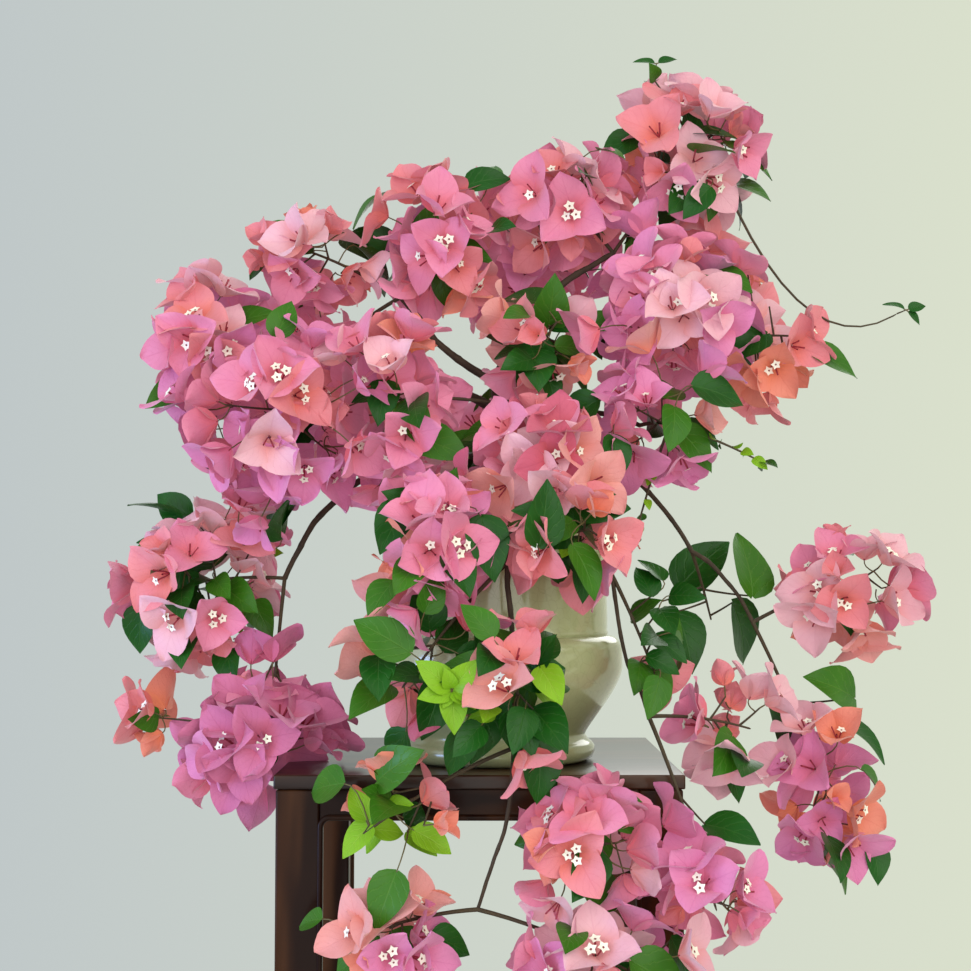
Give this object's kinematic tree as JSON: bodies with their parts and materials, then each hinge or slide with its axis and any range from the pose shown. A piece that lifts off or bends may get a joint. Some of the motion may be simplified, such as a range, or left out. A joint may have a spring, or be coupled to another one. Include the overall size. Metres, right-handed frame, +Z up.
{
  "type": "bougainvillea bush",
  "caption": "Bougainvillea bush in full pink blossom, cascading over a rounded celadon pot of soil that stands on a square dark wood stand.",
  "frame": {"origin": "middle of the footprint of the whole plant with its pot and stand, on the floor", "axes": "+Z up from the floor, +X to the right and -Y towards the viewer as in the picture's view"},
  "size_m": [0.8386, 0.5718, 1.2071],
  "materials": {
    "bark": "rough grey-brown bark",
    "blossom": "papery pink bracts with glossy green leaves on thin brown twigs",
    "glaze": "glossy celadon glaze",
    "soil": "moist dark potting soil",
    "wood": "dark polished hardwood"
  },
  "bodies": {
    "root": {"stand_top": "wood", "stand_leg_front_left": "wood", "stand_leg_front_right": "wood", "stand_leg_back_left": "wood", "stand_leg_back_right": "wood", "stand_apron_front": "wood", "stand_apron_right": "wood", "stand_apron_back": "wood", "stand_apron_left": "wood", "pot": "glaze", "soil": "soil", "trunk": "bark", "bough_top": "bark", "bough_left_high": "bark", "bough_left": "bark", "bough_left_low": "bark", "bough_right_high": "bark", "bough_right": "bark", "bough_front": "bark", "bough_back": "bark", "cane_right": "bark", "cane_right_end": "bark", "cane_pot": "bark", "cane_pot_end": "bark", "cascade_top": "bark", "cascade_middle": "bark", "cascade_end": "bark", "peak": "blossom", "crown": "blossom", "upper_left": "blossom", "left_shoulder": "blossom", "back_left": "blossom", "left_edge": "blossom", "left_heart": "blossom", "left_low": "blossom", "left_tail": "blossom", "right_heart": "blossom", "right_edge": "blossom", "back_right": "blossom", "right_under": "blossom", "breast_left": "blossom", "breast_right": "blossom", "centre": "blossom", "back_top": "blossom", "back_low": "blossom", "back_pot": "blossom", "rim_left": "blossom", "rim_right": "blossom", "pot_left": "blossom", "pot_front": "blossom", "skirt_left": "blossom", "skirt_right": "blossom", "low_left": "blossom", "low_middle": "blossom", "pot_right": "blossom", "right_hang": "blossom", "low_right": "blossom", "cane_leaves": "blossom", "right_arm": "blossom", "right_fall": "blossom"}
  },
  "joints": []
}
